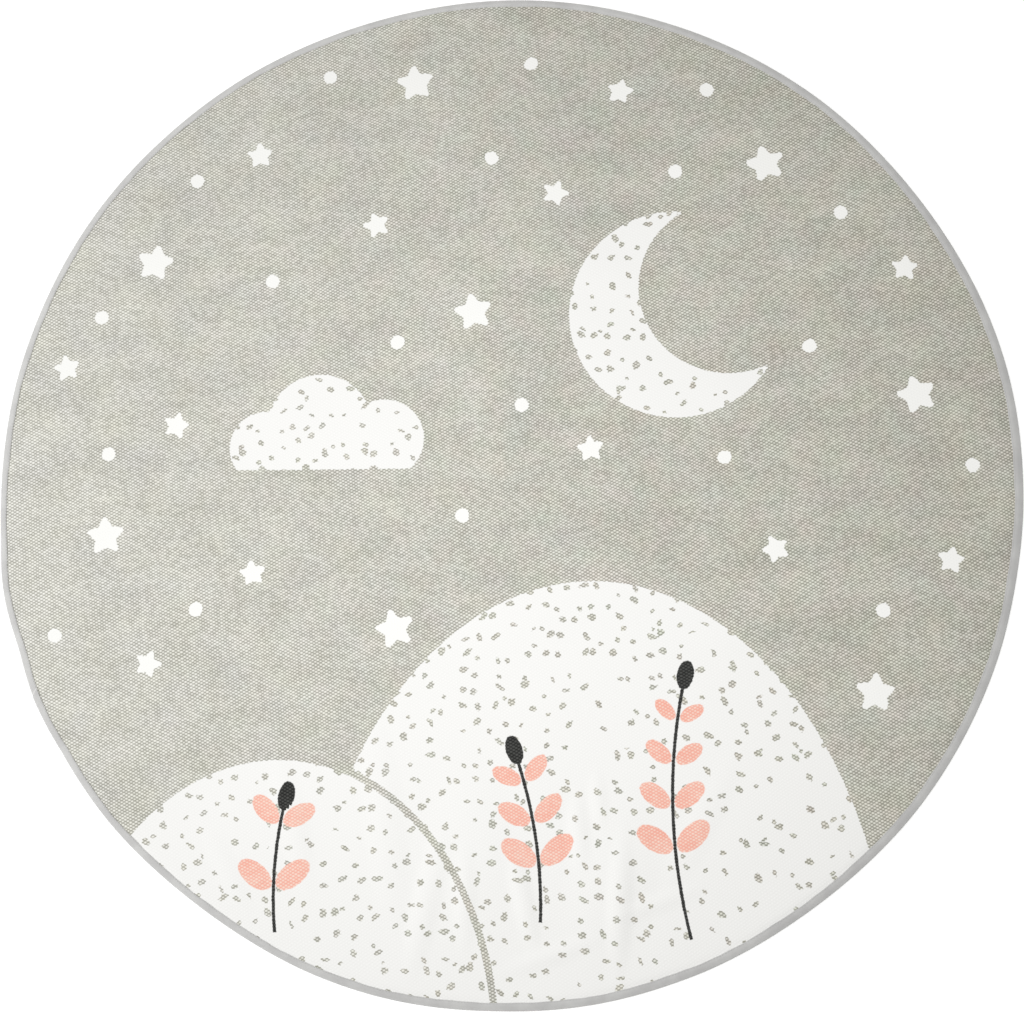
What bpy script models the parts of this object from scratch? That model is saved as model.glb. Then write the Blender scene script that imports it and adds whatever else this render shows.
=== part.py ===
"""Round flat-woven cotton rug with a taped edge, lying flat on the floor.

The rug is sewn from two pieces: a round panel of thick cotton cloth, and a narrow tape that is
folded over the panel's rim, with one half of it on the face and the other half on the back.
Lengths are in metres and +Z is up. The origin lies on the floor under the middle of the outline,
and +Y points to the top of the print.
"""

import math

import bpy

# Driving dimensions of the rug
RUG_RADIUS = 0.500
CLOTH_THICKNESS = 0.0030
TAPE_THICKNESS = 0.0006
SEWING_CLEARANCE = 0.0003

# Tape seen on the face: its mean width, and how much wider it is at the right than that
TAPE_WIDTH = 0.0076
TAPE_WIDTH_SWING = 0.0010
TAPE_WIDEST_BEARING = -10.0
TAPE_FOLD_DEPTH = 0.0016

# The cloth is squeezed where the tape grips it, with a short step under the tape's edges
GRIPPED_CLOTH = 0.0015
PINCH_LENGTH = 0.008
PINCHED_TOP = 0.0027
GRIP_STEP = 0.0005
GRIP_BOTTOM = TAPE_THICKNESS + SEWING_CLEARANCE
GRIP_TOP = GRIP_BOTTOM + GRIPPED_CLOTH
RIM_HEIGHT = GRIP_TOP + SEWING_CLEARANCE + TAPE_THICKNESS

# Places along the rim where the hand-cut circle swells out or draws in
RIM_SWELLS = (
    # bearing in degrees, half width in degrees, height in metres
    (12.0, 14.0, 0.0013),
    (36.0, 16.0, -0.0016),
    (85.0, 14.0, 0.0008),
    (108.0, 16.0, -0.0011),
    (146.0, 16.0, 0.0009),
    (179.0, 12.0, -0.0013),
    (192.5, 7.0, 0.0024),
    (205.5, 7.0, 0.0021),
    (234.0, 15.0, -0.0023),
    (257.0, 14.0, 0.0013),
    (279.0, 11.0, 0.0009),
    (306.0, 16.0, -0.0018),
    (348.0, 9.0, -0.0008),
)

# Places where the cloth doesn't lie quite down on the floor
SOFT_RISES = (
    # x, y, bearing of its length in degrees, half length, half width, height
    (-0.030, -0.360, 96.0, 0.110, 0.050, 0.0012),
    (0.100, -0.385, 78.0, 0.100, 0.048, 0.0014),
    (-0.440, -0.130, 108.0, 0.120, 0.060, 0.0010),
    (0.215, 0.300, 40.0, 0.150, 0.070, 0.0008),
)

# Fineness of the surfaces: quads along a side of the cloth's grid, and points round the fold
GRID_SIDE = 40
RINGS = GRID_SIDE // 2
RIM_POINTS = 4 * GRID_SIDE
FOLD_ANGLES = (90.0, 45.0, 0.0, -45.0, -90.0)
MERGE_DISTANCE = 0.00001


def hump(distance):
    """Smooth hump that is 1 in the middle and exactly 0 from a distance of 1 onwards."""
    return (1.0 - distance * distance) ** 2 if abs(distance) < 1.0 else 0.0


def rim_radius(bearing):
    """Distance from the middle of the circle to the outermost line of the tape."""
    radius = RUG_RADIUS
    for middle, half_width, height in RIM_SWELLS:
        away = (math.degrees(bearing) - middle + 180.0) % 360.0 - 180.0
        radius += height * hump(away / half_width)
    return radius


def tape_width(bearing):
    """Width of the tape on the face and on the back, which varies once round the rug."""
    return TAPE_WIDTH + TAPE_WIDTH_SWING * math.cos(bearing - math.radians(TAPE_WIDEST_BEARING))


def outline_middle():
    """Middle of the outline's box, a little off the circle's own middle."""
    outline = []
    for step in range(RIM_POINTS):
        bearing = math.tau * step / RIM_POINTS
        radius = rim_radius(bearing)
        outline.append((radius * math.cos(bearing), radius * math.sin(bearing)))
    across = [point[0] for point in outline]
    along = [point[1] for point in outline]
    return (min(across) + max(across)) / 2, (min(along) + max(along)) / 2


def rise(x, y):
    """Height of the cloth's underside over the floor, nil nearly everywhere."""
    height = 0.0
    for middle_x, middle_y, bearing, half_length, half_width, top in SOFT_RISES:
        turn = math.radians(bearing)
        along = (x - middle_x) * math.cos(turn) + (y - middle_y) * math.sin(turn)
        across = (y - middle_y) * math.cos(turn) - (x - middle_x) * math.sin(turn)
        height += top * hump(math.hypot(along / half_length, across / half_width))
    return height


def lay_on_floor(radius, bearing, height, middle):
    """Point at a radius and bearing from the circle's middle, on the rug as it lies."""
    x = radius * math.cos(bearing) - middle[0]
    y = radius * math.sin(bearing) - middle[1]
    return x, y, height + rise(x, y)


def cotton(name, colour, roughness):
    """Plain cloth material."""
    material = bpy.data.materials.new(name)
    material.use_nodes = True
    shader = material.node_tree.nodes["Principled BSDF"]
    shader.inputs["Base Color"].default_value = (*colour, 1.0)
    shader.inputs["Roughness"].default_value = roughness
    shader.inputs["Metallic"].default_value = 0.0
    return material


def finished(name, worked, collection, material, parent):
    """Replace a worked object by one that holds its evaluated mesh, under the piece's name."""
    depsgraph = bpy.context.evaluated_depsgraph_get()
    mesh = bpy.data.meshes.new_from_object(worked.evaluated_get(depsgraph))
    bpy.data.objects.remove(worked)
    mesh.name = name
    mesh.materials.clear()
    mesh.materials.append(material)
    piece = bpy.data.objects.new(name, mesh)
    piece.parent = parent
    collection.objects.link(piece)
    return piece


def shade(mesh):
    """Smooth shading, with the tape's and the cloth's own edges kept crisp."""
    mesh.shade_smooth()
    mesh.set_sharp_from_angle(angle=math.radians(40.0))


def disc_place(a, b):
    """Ring, from 0 to 1, and bearing of a point of the square grid once it is a disc.

    A square of half side s round the middle becomes the circle of radius s, and the points
    along its sides stand at even angles.
    """
    if a == 0.0 and b == 0.0:
        return 0.0, 0.0
    if abs(a) >= abs(b):
        return abs(a), math.pi / 4 * (b / a) + (0.0 if a > 0.0 else math.pi)
    return abs(b), math.pi / 2 - math.pi / 4 * (a / b) + (0.0 if b > 0.0 else math.pi)


def cloth_ring(ring, bearing):
    """Radius, top and underside of the cloth at one ring of points, counted from the middle."""
    tape_edge = rim_radius(bearing) - tape_width(bearing)
    if ring == RINGS:
        return rim_radius(bearing) - TAPE_FOLD_DEPTH - SEWING_CLEARANCE, GRIP_TOP, GRIP_BOTTOM
    if ring == RINGS - 1:
        return tape_edge - SEWING_CLEARANCE, GRIP_TOP, GRIP_BOTTOM
    if ring == RINGS - 2:
        return tape_edge - SEWING_CLEARANCE - GRIP_STEP, PINCHED_TOP, 0.0
    return (tape_edge - PINCH_LENGTH) * ring / (RINGS - 3), CLOTH_THICKNESS, 0.0


def make_cloth(collection, parent, middle):
    """Round panel: a square grid given its thickness, then drawn into a disc ring by ring."""
    bpy.ops.mesh.primitive_grid_add(x_subdivisions=GRID_SIDE, y_subdivisions=GRID_SIDE, size=2.0)
    panel = bpy.context.active_object
    thickness = panel.modifiers.new("Cloth thickness", "SOLIDIFY")
    thickness.thickness = CLOTH_THICKNESS
    thickness.offset = 1.0
    material = cotton("Printed cotton", (0.56, 0.54, 0.48), 0.9)
    cloth = finished("rug_cloth", panel, collection, material, parent)
    for vertex in cloth.data.vertices:
        reach, bearing = disc_place(vertex.co.x, vertex.co.y)
        radius, top, underside = cloth_ring(round(reach * RINGS), bearing)
        height = top if vertex.co.z > CLOTH_THICKNESS / 2 else underside
        vertex.co = lay_on_floor(radius, bearing, height, middle)
    shade(cloth.data)
    return cloth


def fold_points(thickness):
    """Inset and height of the points round the fold, on the outside or a thickness further in."""
    points = []
    for angle in FOLD_ANGLES:
        turn = math.radians(angle)
        inset = thickness + (TAPE_FOLD_DEPTH - thickness) * (1.0 - math.cos(turn))
        height = RIM_HEIGHT / 2 + (RIM_HEIGHT / 2 - thickness) * math.sin(turn)
        points.append((inset, height))
    return points


def tape_section():
    """Cut through the folded tape as (inset, height), down its outside and up its inside."""
    outside = [(TAPE_WIDTH, RIM_HEIGHT), *fold_points(0.0), (TAPE_WIDTH, 0.0)]
    inside = [(TAPE_WIDTH, RIM_HEIGHT - TAPE_THICKNESS), *fold_points(TAPE_THICKNESS)]
    inside.append((TAPE_WIDTH, TAPE_THICKNESS))
    return outside + inside[::-1]


def make_binding(collection, parent, middle):
    """Edge tape: its cut turned round the rug, then drawn to the rim's own line and width."""
    section = tape_section()
    profile = bpy.data.meshes.new("tape_profile")
    corners = [(RUG_RADIUS - inset, 0.0, height) for inset, height in section]
    sides = [(index, (index + 1) % len(section)) for index in range(len(section))]
    profile.from_pydata(corners, sides, [])
    turned = bpy.data.objects.new("tape_profile", profile)
    collection.objects.link(turned)
    screw = turned.modifiers.new("Turned round the rug", "SCREW")
    screw.steps = RIM_POINTS
    screw.render_steps = RIM_POINTS
    screw.use_merge_vertices = True
    screw.merge_threshold = MERGE_DISTANCE
    material = cotton("Cotton tape", (0.47, 0.46, 0.47), 0.85)
    binding = finished("edge_binding", turned, collection, material, parent)
    for vertex in binding.data.vertices:
        bearing = math.atan2(vertex.co.y, vertex.co.x)
        inset = RUG_RADIUS - math.hypot(vertex.co.x, vertex.co.y)
        if inset > (TAPE_FOLD_DEPTH + TAPE_WIDTH) / 2:
            inset = tape_width(bearing)
        vertex.co = lay_on_floor(rim_radius(bearing) - inset, bearing, vertex.co.z, middle)
    shade(binding.data)
    return binding


def make_rug():
    """Empty the scene and model the rug."""
    for old in list(bpy.data.objects):
        bpy.data.objects.remove(old)
    collection = bpy.data.collections.new("Round rug")
    bpy.context.scene.collection.children.link(collection)
    origin = bpy.data.objects.new("rug_origin", None)
    collection.objects.link(origin)
    middle = outline_middle()
    make_cloth(collection, origin, middle)
    make_binding(collection, origin, middle)


make_rug()
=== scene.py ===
# %% [markdown]
# # A round printed cotton rug
# The real rug is one disc of thick plain-woven cotton, printed on its face, with a narrow tape
# folded over its rim. It lies flat, so nearly everything that makes it look real is small: the
# yarns, the ragged edge of the ink where it crosses them, a rim that isn't a perfect circle, and
# a few soft ripples. This lesson makes those in that order, from the largest to the smallest.

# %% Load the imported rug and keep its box
import math

import bmesh
import bpy
import numpy as np
from mathutils import Matrix, Vector


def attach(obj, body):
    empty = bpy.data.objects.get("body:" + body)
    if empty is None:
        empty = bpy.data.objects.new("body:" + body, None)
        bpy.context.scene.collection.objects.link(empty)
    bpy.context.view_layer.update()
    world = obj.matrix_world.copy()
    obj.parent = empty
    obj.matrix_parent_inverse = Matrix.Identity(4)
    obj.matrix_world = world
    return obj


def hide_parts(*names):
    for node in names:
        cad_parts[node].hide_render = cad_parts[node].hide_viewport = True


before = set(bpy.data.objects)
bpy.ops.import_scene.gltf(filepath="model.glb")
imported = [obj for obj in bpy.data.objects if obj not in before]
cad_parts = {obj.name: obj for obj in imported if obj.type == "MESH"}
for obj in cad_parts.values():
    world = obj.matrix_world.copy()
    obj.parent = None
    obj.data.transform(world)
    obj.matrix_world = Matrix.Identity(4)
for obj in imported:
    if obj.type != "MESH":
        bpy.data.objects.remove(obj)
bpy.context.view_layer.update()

# %% [markdown]
# ## Sizes
# All lengths are in metres. The driving sizes are the ones that the solids were made from, so the
# finished cloth and tape land in the place of their plain solids.

# %% Sizes of the cloth and the tape
RUG_RADIUS = 0.500
CLOTH_THICKNESS = 0.0030
TAPE_THICKNESS = 0.0006
SEWING_CLEARANCE = 0.0003
TAPE_WIDTH = 0.0076
TAPE_WIDTH_SWING = 0.0010
TAPE_WIDEST_BEARING = -10.0
TAPE_FOLD_DEPTH = 0.0016
GRIPPED_CLOTH = 0.0015
PINCH_LENGTH = 0.008
GRIP_BOTTOM = TAPE_THICKNESS + SEWING_CLEARANCE
GRIP_TOP = GRIP_BOTTOM + GRIPPED_CLOTH
RIM_HEIGHT = GRIP_TOP + SEWING_CLEARANCE + TAPE_THICKNESS
TAU = 2.0 * math.pi
print(f"bound rim {RIM_HEIGHT * 1000:.1f} mm high, cloth {CLOTH_THICKNESS * 1000:.1f} mm thick")

# %% [markdown]
# ## The line of the rim
# A rug is cut and bound by hand, so its circle swells out and draws in by a millimetre or two. Each
# swell is a smooth hump along the bearing, the angle round the rug from +X. Sums of a few humps are
# easy to place, which a noise would not be.

# %% Rim line and tape width as functions of the bearing
RIM_SWELLS = (
    # bearing in degrees, half width in degrees, height in metres
    (12.0, 14.0, 0.0013),
    (36.0, 16.0, -0.0016),
    (85.0, 14.0, 0.0008),
    (108.0, 16.0, -0.0011),
    (146.0, 16.0, 0.0009),
    (179.0, 12.0, -0.0013),
    (192.5, 7.0, 0.0024),
    (205.5, 7.0, 0.0021),
    (234.0, 15.0, -0.0023),
    (257.0, 14.0, 0.0013),
    (279.0, 11.0, 0.0009),
    (306.0, 16.0, -0.0018),
    (348.0, 9.0, -0.0008),
)
RIM_STATIONS = 160


def hump(distance):
    """(1 - distance squared) squared inside a distance of 1, and exactly 0 outside."""
    return np.square(1.0 - np.square(np.minimum(np.abs(distance), 1.0)))


def rim_radius(bearing):
    """Radius of the tape's outermost line: the nominal radius plus every swell's hump."""
    radius = np.full_like(bearing, RUG_RADIUS)
    for middle, half_width, height in RIM_SWELLS:
        away = (np.degrees(bearing) - middle + 180.0) % 360.0 - 180.0
        radius += height * hump(away / half_width)
    return radius


def tape_width(bearing):
    """Mean width plus the swing times the cosine of the bearing from the widest place."""
    return TAPE_WIDTH + TAPE_WIDTH_SWING * np.cos(bearing - math.radians(TAPE_WIDEST_BEARING))


def outline_middle():
    """Middle of the rim line's box, taken at the same stations as in the solids."""
    bearing = TAU * np.arange(RIM_STATIONS) / RIM_STATIONS
    outline = rim_radius(bearing) * np.stack([np.cos(bearing), np.sin(bearing)])
    return (outline.min(axis=1) + outline.max(axis=1)) / 2


MIDDLE = outline_middle()
print("circle's middle is off the box's middle by", np.round(MIDDLE * 1000, 2).tolist(), "mm")

# %% [markdown]
# ## How the cloth lies
# Four broad rises lift the cloth a little off the floor, as in the solids. Finer ripples lie on
# them: soft ridges from two to seven centimetres wide, most of them at the foot of the rug, where
# it was folded for packing. Last come low lumps from crossing waves, because heavy cloth is never
# quite flat.

# %% Heights of the lying cloth
BROAD_RISES = (
    # x, y, bearing of its length in degrees, half length, half width, height
    (-0.030, -0.360, 96.0, 0.110, 0.050, 0.0012),
    (0.100, -0.385, 78.0, 0.100, 0.048, 0.0014),
    (-0.440, -0.130, 108.0, 0.120, 0.060, 0.0010),
    (0.215, 0.300, 40.0, 0.150, 0.070, 0.0008),
)
FINE_RIPPLES = (
    # x, y, bearing of its length in degrees, half length, half width, height
    (-0.073, -0.405, 78.0, 0.080, 0.017, 0.00135),
    (-0.036, -0.400, 90.0, 0.058, 0.014, 0.00110),
    (0.019, -0.400, 103.0, 0.056, 0.013, 0.00145),
    (0.071, -0.338, 93.0, 0.046, 0.013, 0.00115),
    (0.109, -0.402, 87.0, 0.080, 0.015, 0.00150),
    (0.144, -0.402, 18.0, 0.056, 0.011, 0.00105),
    (0.044, -0.450, 19.0, 0.062, 0.012, 0.00105),
    (0.090, -0.308, 95.0, 0.034, 0.011, 0.00085),
    (-0.112, -0.330, 97.0, 0.120, 0.024, 0.00100),
    (-0.200, -0.330, 104.0, 0.080, 0.018, 0.00090),
    (-0.262, -0.372, 118.0, 0.060, 0.014, 0.00060),
    (0.185, -0.330, 62.0, 0.080, 0.020, 0.00065),
    (0.010, -0.150, 14.0, 0.150, 0.028, 0.00040),
    (0.260, -0.120, 35.0, 0.120, 0.030, 0.00050),
    (-0.300, 0.060, 122.0, 0.130, 0.032, 0.00050),
    (0.080, 0.220, 150.0, 0.140, 0.034, 0.00050),
    (-0.120, 0.350, 20.0, 0.130, 0.030, 0.00050),
    (0.350, 0.080, 80.0, 0.120, 0.030, 0.00050),
)
LOW_WAVES = (
    # waves to the metre along X and along Y, their phases in turns, height
    (5.3, 2.1, 0.13, 0.71, 0.00016),
    (2.7, 6.4, 0.42, 0.05, 0.00014),
    (8.9, 4.6, 0.77, 0.33, 0.00009),
    (4.1, 10.3, 0.21, 0.58, 0.00008),
    (13.7, 11.9, 0.64, 0.87, 0.00005),
)


def ridges(x, y, table):
    """Sum of long humps: each is 1 at its middle and 0 on an ellipse of the given half sizes."""
    height = np.zeros_like(x)
    for middle_x, middle_y, bearing, half_length, half_width, top in table:
        turn = math.radians(bearing)
        along = (x - middle_x) * math.cos(turn) + (y - middle_y) * math.sin(turn)
        across = (y - middle_y) * math.cos(turn) - (x - middle_x) * math.sin(turn)
        height += top * hump(np.hypot(along / half_length, across / half_width))
    return height


def rise(x, y):
    """Height of the cloth's underside over the floor: broad rises plus fine ripples."""
    return ridges(x, y, BROAD_RISES) + ridges(x, y, FINE_RIPPLES)


def low_lumps(x, y):
    """Product of a sine along X and a sine along Y, summed over the table."""
    height = np.zeros_like(x)
    for waves_x, waves_y, phase_x, phase_y, top in LOW_WAVES:
        along_x = np.sin(TAU * (waves_x * x + phase_x))
        height += top * along_x * np.sin(TAU * (waves_y * y + phase_y))
    return height


def lay_on_floor(radius, bearing, height):
    """Points at a radius and bearing from the circle's middle, as an array of x, y, z rows."""
    x = radius * np.cos(bearing) - MIDDLE[0]
    y = radius * np.sin(bearing) - MIDDLE[1]
    return np.stack([x, y, height + rise(x, y)], axis=-1)


# %% [markdown]
# ## The camera
# The photo looks down on the rug from about a metre and a half, ten degrees off straight down
# towards the lower right, which is what makes the circle a little oval. The camera is aimed by its
# own axes: back is the direction from the aim to the camera, and the picture's up is the rug's +Y.

# %% Place the camera
CAMERA_DISTANCE = 1.62
CAMERA_TILT = 10.1
CAMERA_BEARING = 18.4
CAMERA_AIM = Vector((0.0083, -0.0255, 0.0))
LENS_MM = 58.45


def place_camera():
    """Camera at a distance from its aim, tilted from straight down towards a bearing from -Y."""
    tilt = math.radians(CAMERA_TILT)
    bearing = math.radians(CAMERA_BEARING)
    aside = math.sin(tilt)
    back = Vector((math.sin(bearing) * aside, -math.cos(bearing) * aside, math.cos(tilt)))
    right = Vector((0.0, 1.0, 0.0)).cross(back).normalized()
    turn = Matrix((right, back.cross(right), back)).transposed()
    data = bpy.data.cameras.new("photo camera")
    data.lens = LENS_MM
    camera = bpy.data.objects.new("photo camera", data)
    place = CAMERA_AIM + back * CAMERA_DISTANCE
    camera.matrix_world = Matrix.Translation(place) @ turn.to_4x4()
    bpy.context.scene.collection.objects.link(camera)
    bpy.context.scene.camera = camera
    return camera


camera = place_camera()
print("camera at", [round(value, 3) for value in camera.matrix_world.translation])

# %% [markdown]
# ## A disc without a pole
# A disc could be made of rings and spokes, but the spokes crowd at the middle and the cloth's own
# pattern would pinch there. A square grid is drawn into a disc instead: each square round the
# middle becomes a circle, with the points of its sides at even angles. All quads keep about the
# same area, and the square is also a ready flat map of the cloth.

# %% Square grid drawn into a disc
FACE_SIDE = 256
BACK_SIDE = 128
PINCH_RINGS = (
    # distance inside the tape's edge, share of the pinch from full thickness to gripped
    (0.0060, 0.04),
    (0.0040, 0.16),
    (0.0022, 0.45),
    (0.0008, 0.80),
    (-0.0004, 1.00),
)
BACK_STEP_RINGS = ((0.0008, 0.0), (0.0003, 1.0))


def square_points(side):
    """Points of an even grid of side by side quads over the square from -1 to 1, row by row."""
    line = np.linspace(-1.0, 1.0, side + 1)
    return np.tile(line, side + 1), np.repeat(line, side + 1)


def disc_place(a, b):
    """Reach max(|a|, |b|), and the bearing: an eighth turn times the ratio of the two sides."""
    wide = np.abs(a) >= np.abs(b)
    long_side = np.where(wide, a, b)
    ratio = np.where(wide, b, a) / np.where(long_side == 0.0, 1.0, long_side)
    level = TAU / 8 * ratio + np.where(a > 0.0, 0.0, TAU / 2)
    upright = TAU / 4 - TAU / 8 * ratio + np.where(b > 0.0, 0.0, TAU / 2)
    return np.abs(long_side), np.where(wide, level, upright)


def ring_radius(ring, rings, bearing, edge_rings):
    """Even rings up to the pinch, then the table's rings by their distance from the tape's edge."""
    tape_edge = rim_radius(bearing) - tape_width(bearing)
    even = rings - len(edge_rings) - 1
    radius = (tape_edge - PINCH_LENGTH) * ring / even
    share = np.zeros_like(radius)
    for step, (inside, pinch) in enumerate(edge_rings):
        here = ring == even + 1 + step
        radius = np.where(here, tape_edge - inside, radius)
        share = np.where(here, pinch, share)
    last = ring == rings
    radius = np.where(last, rim_radius(bearing) - TAPE_FOLD_DEPTH - SEWING_CLEARANCE, radius)
    return radius, np.where(last, 1.0, share)


def cloth_side(side, edge_rings):
    """Bearing, radius and pinch of every point of one side of the cloth, row by row."""
    reach, bearing = disc_place(*square_points(side))
    ring = np.rint(reach * side / 2)
    radius, pinch = ring_radius(ring, side // 2, bearing, edge_rings)
    return bearing, radius, pinch


def grid_quads(side):
    """Four corners of each quad, anticlockwise seen from above."""
    first = (np.arange(side)[:, None] * (side + 1) + np.arange(side)[None, :]).ravel()
    return np.stack([first, first + 1, first + side + 2, first + side + 1], axis=1)


def grid_rim(side):
    """Points along the square's four sides, anticlockwise from its lower left corner."""
    steps = np.arange(side)
    bottom = steps
    right = side + steps * (side + 1)
    top = side * (side + 1) + side - steps
    left = (side - steps) * (side + 1)
    return np.concatenate([bottom, right, top, left])


# %% [markdown]
# Each piece of mesh is made the same way: its points and facets are worked out as whole arrays, and
# one call turns them into an object. A flat map is kept with it, so that its colours can be painted
# on a picture later. Four short helpers do what all the pieces need.

# %% Helpers for every piece of mesh


def new_piece(name, points, facets):
    """Object at the origin, from an array of points and a list of facets."""
    mesh = bpy.data.meshes.new(name)
    mesh.from_pydata(points.reshape(-1, 3).tolist(), [], facets)
    piece = bpy.data.objects.new(name, mesh)
    bpy.context.scene.collection.objects.link(piece)
    return piece


def store_map(mesh, *corners):
    """Flat map, from the places of all the facets' corners in order, in one array or more."""
    flat = np.concatenate([places.reshape(-1, 2) for places in corners])
    layer = mesh.uv_layers.new(name="OFBake")
    layer.data.foreach_set("uv", flat.ravel().astype(np.float32))


def store_corners(mesh, name, values):
    """Attribute with three numbers for each corner of the first quads, and nil for the rest."""
    rows = values.reshape(-1, 3)
    full = np.zeros((len(mesh.loops), 3), np.float32)
    full[: len(rows)] = rows
    attribute = mesh.attributes.new(name, "FLOAT_VECTOR", "CORNER")
    attribute.data.foreach_set("vector", full.ravel())


def shade_smooth(mesh, sharp_angle):
    """Smooth shading, except over edges sharper than an angle in degrees."""
    mesh.shade_smooth()
    mesh.set_sharp_from_angle(angle=math.radians(sharp_angle))
    mesh.update()


# %% [markdown]
# The face gets a quad about every 4 mm, and the back, which lies on the floor, one every 8 mm. At
# the rim two face quads meet one back quad, and a five-sided facet joins them. That seam is hidden
# inside the tape's fold, and it closes the cloth into one solid sheet.

# %% Build the cloth's mesh
FACE_MAP_SHARE = 0.875
BACK_MAP_SHARE = 0.115
MAP_FILL = 0.985
SEAM_MAP_REACH = 0.004
CLOTH_SHARP_ANGLE = 50.0


def flat_map(bearing, radius, corner, size):
    """Place on the flat map: the disc's point taken back to the square, at its true radius."""
    eighth = (bearing + TAU / 8) % (TAU / 4) - TAU / 8
    quarter = np.rint((bearing - eighth) / (TAU / 4)).astype(int) % 4
    reach = radius / RUG_RADIUS * MAP_FILL
    side_step = reach * eighth / (TAU / 8)
    a = np.choose(quarter, [reach, -side_step, -reach, side_step])
    b = np.choose(quarter, [side_step, reach, -side_step, -reach])
    return corner + size * (0.5 + 0.5 * np.stack([a, b], axis=-1))


def make_cloth():
    """Closed sheet: printed face, back, and the seam of five-sided facets under the tape."""
    bearing, radius, pinch = cloth_side(FACE_SIDE, PINCH_RINGS)
    top = CLOTH_THICKNESS - pinch * (CLOTH_THICKNESS - GRIP_TOP)
    face = lay_on_floor(radius, bearing, top)
    face[:, 2] += low_lumps(face[:, 0], face[:, 1]) * (1.0 - pinch)
    face_map = flat_map(bearing, radius, 0.0, FACE_MAP_SHARE)
    past_rim = flat_map(bearing, radius + SEAM_MAP_REACH, 0.0, FACE_MAP_SHARE)
    seam_map = past_rim[grid_rim(FACE_SIDE)[::2]]
    bearing, radius, pinch = cloth_side(BACK_SIDE, BACK_STEP_RINGS)
    back = lay_on_floor(radius, bearing, pinch * GRIP_BOTTOM)
    back_map = flat_map(bearing, radius, 1.0 - BACK_MAP_SHARE, BACK_MAP_SHARE)

    face_quads = grid_quads(FACE_SIDE)
    back_quads = grid_quads(BACK_SIDE)[:, ::-1] + len(face)
    upper = grid_rim(FACE_SIDE)
    lower = grid_rim(BACK_SIDE) + len(face)
    seam = np.stack(
        [lower, np.roll(lower, -1), np.roll(upper, -2)[::2], upper[1::2], upper[::2]], axis=1
    )
    facets = face_quads.tolist() + back_quads.tolist() + seam.tolist()
    cloth = new_piece("printed_cloth", np.concatenate([face, back]), facets)
    mesh = cloth.data

    corners = np.concatenate([face_map, back_map])
    seam_corners = corners[seam]
    seam_corners[:, 0] = seam_map
    seam_corners[:, 1] = np.roll(seam_map, -1, axis=0)
    store_map(mesh, corners[face_quads], corners[back_quads], seam_corners)
    slots = (np.arange(len(mesh.polygons)) >= len(face_quads)).astype(np.int32)
    mesh.polygons.foreach_set("material_index", slots)
    shade_smooth(mesh, CLOTH_SHARP_ANGLE)
    return cloth, face[face_quads]


cloth, face_corners = make_cloth()
print("cloth:", len(cloth.data.polygons), "faces,", len(cloth.data.vertices), "points")

# %% [markdown]
# ## The print
# The print is a night sky over two hills, with a moon, a cloud, stars, dots and sprigs. Ink has no
# thickness, so it isn't modelled. But a star drawn by quads of 4 mm would be coarse. Each quad of
# the face carries instead the place of its corners in the own coordinates of the star nearest to
# it, as an attribute, and the material draws a perfect star from those numbers. One formula then
# serves every star, at any turn and size.

# %% Stars and dots, each quad in the coordinates of its nearest one
BIG_STAR = 0.0188
SMALL_STAR = 0.0132
DOT = 0.0070
STARS = (
    # x, y, reach of its points, turn in degrees
    (-0.090, 0.412, BIG_STAR, 8.0),
    (0.118, 0.398, SMALL_STAR, -12.0),
    (0.262, 0.318, BIG_STAR, 14.0),
    (-0.248, 0.338, SMALL_STAR, 5.0),
    (-0.352, 0.226, BIG_STAR, -9.0),
    (-0.128, 0.262, SMALL_STAR, 18.0),
    (0.052, 0.292, SMALL_STAR, -20.0),
    (-0.030, 0.170, BIG_STAR, 10.0),
    (-0.438, 0.118, SMALL_STAR, 12.0),
    (0.395, 0.208, SMALL_STAR, -6.0),
    (0.402, 0.080, BIG_STAR, 16.0),
    (-0.325, 0.058, SMALL_STAR, -14.0),
    (-0.392, -0.052, BIG_STAR, 4.0),
    (0.262, -0.070, SMALL_STAR, 22.0),
    (0.428, -0.082, SMALL_STAR, -10.0),
    (-0.245, -0.090, SMALL_STAR, 9.0),
    (-0.345, -0.178, SMALL_STAR, -18.0),
    (0.352, -0.208, BIG_STAR, -4.0),
    (-0.105, -0.145, BIG_STAR, 14.0),
    (0.085, 0.030, SMALL_STAR, 6.0),
)
DOTS = (
    # x, y
    (0.028, 0.430), (-0.178, 0.420), (0.205, 0.398), (-0.312, 0.312), (0.335, 0.266),
    (-0.012, 0.330), (0.172, 0.312), (-0.232, 0.205), (-0.405, 0.170), (0.300, 0.130),
    (-0.105, 0.140), (0.018, 0.075), (-0.392, 0.030), (0.452, 0.010), (-0.300, -0.125),
    (0.362, -0.130), (-0.438, -0.150), (0.215, 0.020), (-0.040, -0.035),
)


def nearest(table):
    """The table's row whose x and y are nearest to the middle of each quad of the face."""
    gap = face_corners.mean(axis=1)[:, None, :2] - table[None, :, :2]
    return table[np.square(gap).sum(axis=2).argmin(axis=1)]


def own_coordinates(places, turns, lengths, widths):
    """Corners in a motif's own frame: moved to its middle, turned back, and divided by its size."""
    right = face_corners[:, :, 0] - places[:, 0:1]
    up = face_corners[:, :, 1] - places[:, 1:2]
    cosine, sine = np.cos(turns)[:, None], np.sin(turns)[:, None]
    along = (right * cosine + up * sine) / lengths[:, None]
    across = (up * cosine - right * sine) / widths[:, None]
    return along, across


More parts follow.
